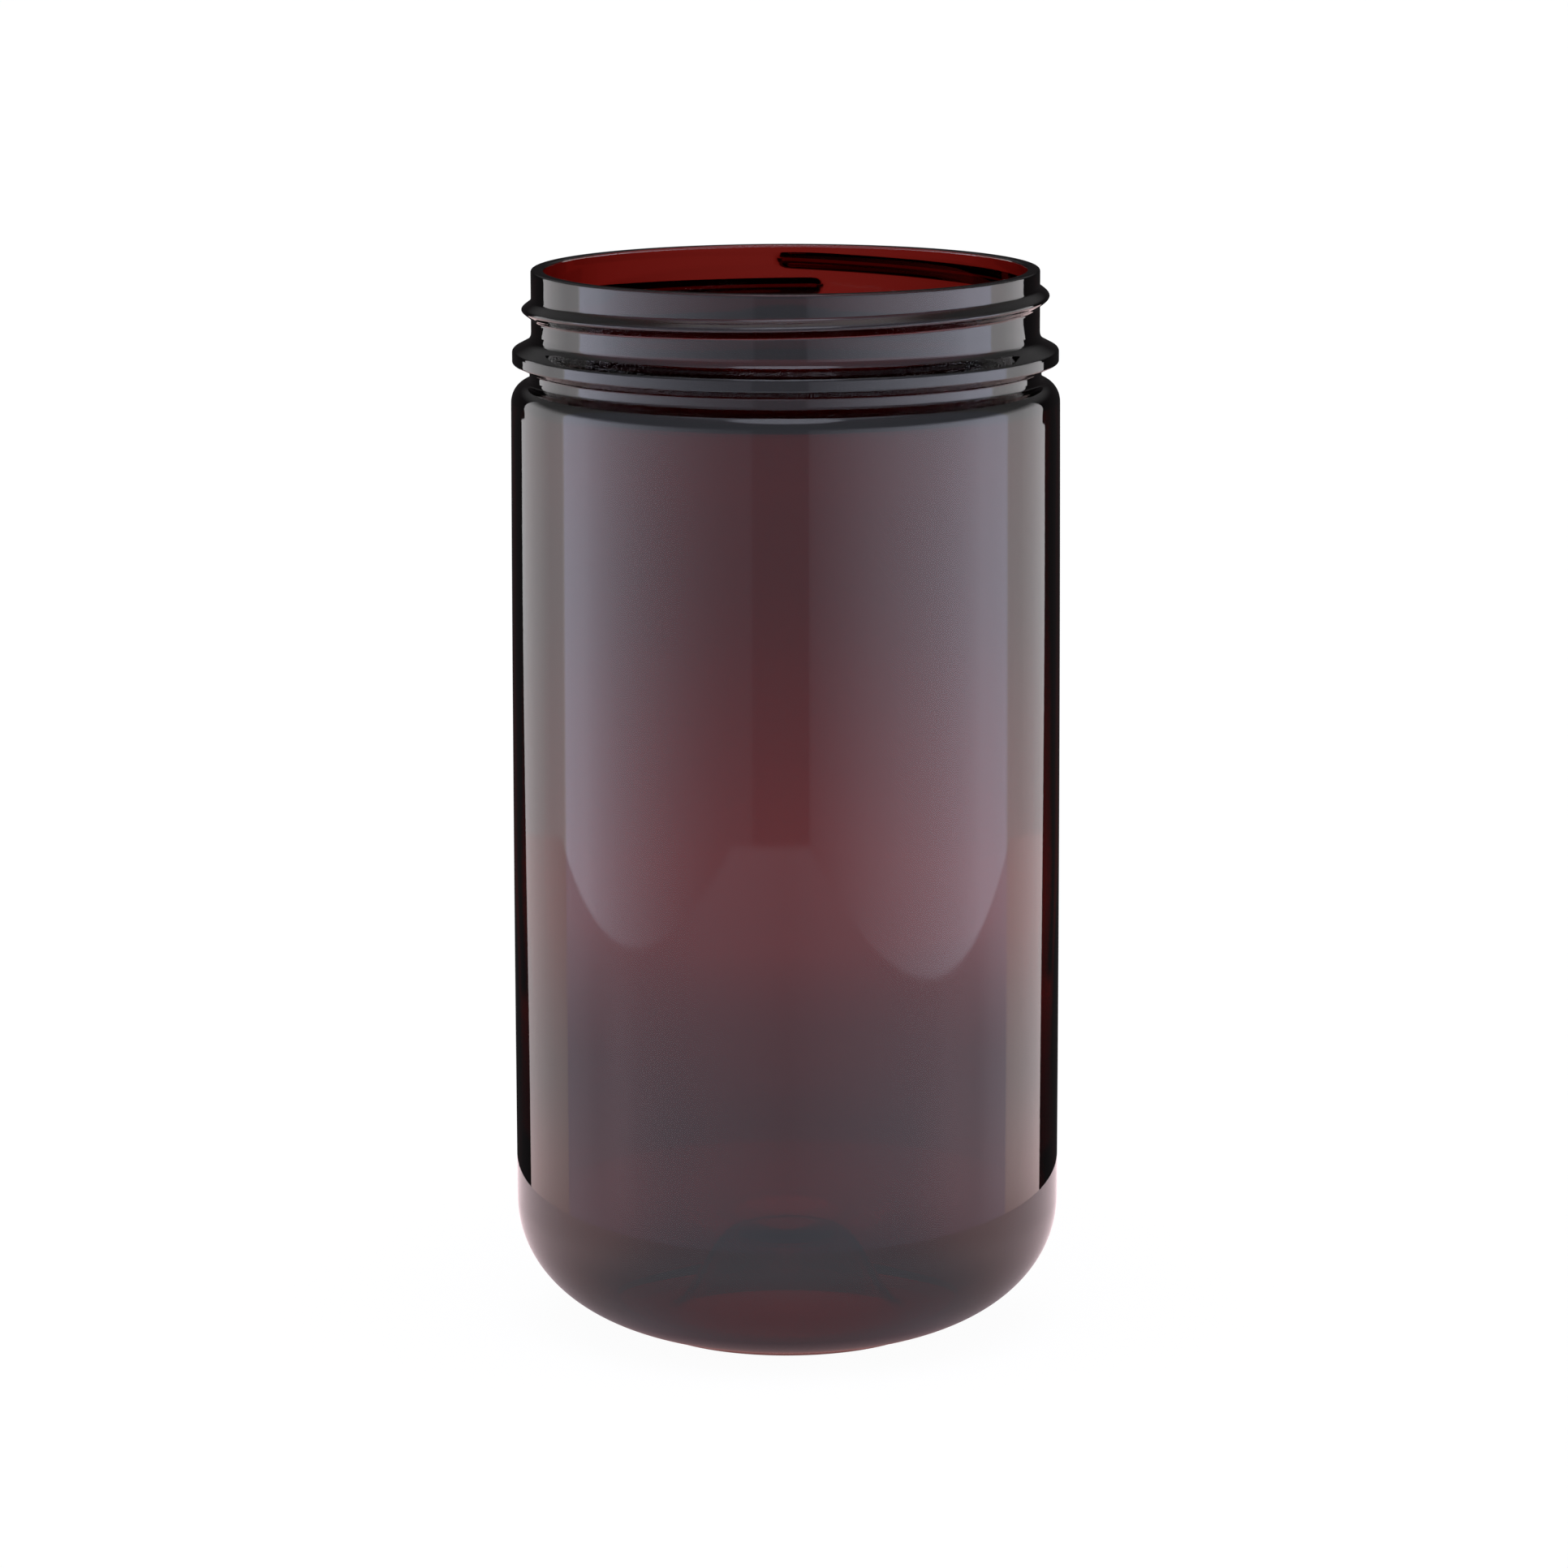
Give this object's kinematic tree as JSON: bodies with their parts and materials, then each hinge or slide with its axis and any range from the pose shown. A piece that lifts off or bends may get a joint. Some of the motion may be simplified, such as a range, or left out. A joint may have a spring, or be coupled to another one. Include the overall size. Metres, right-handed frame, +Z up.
{
  "type": "wide-mouth jar",
  "caption": "Straight-sided wide-mouth jar in clear amber plastic, with a screw-thread neck, a bead under the thread, a rounded heel and a pushed-up base.",
  "frame": {"origin": "centre of the contact ring, on the plane the jar stands on", "axes": "+Z up along the jar's axis, out of the mouth; -Y is the side the picture looks at; the thread starts at the back, on the +Y side"},
  "size_m": [0.093, 0.093, 0.182],
  "materials": {
    "amber_plastic": "clear dark amber tint, glossy and see-through, smooth moulded surface"
  },
  "bodies": {
    "root": {"jar": "amber_plastic"}
  },
  "joints": []
}
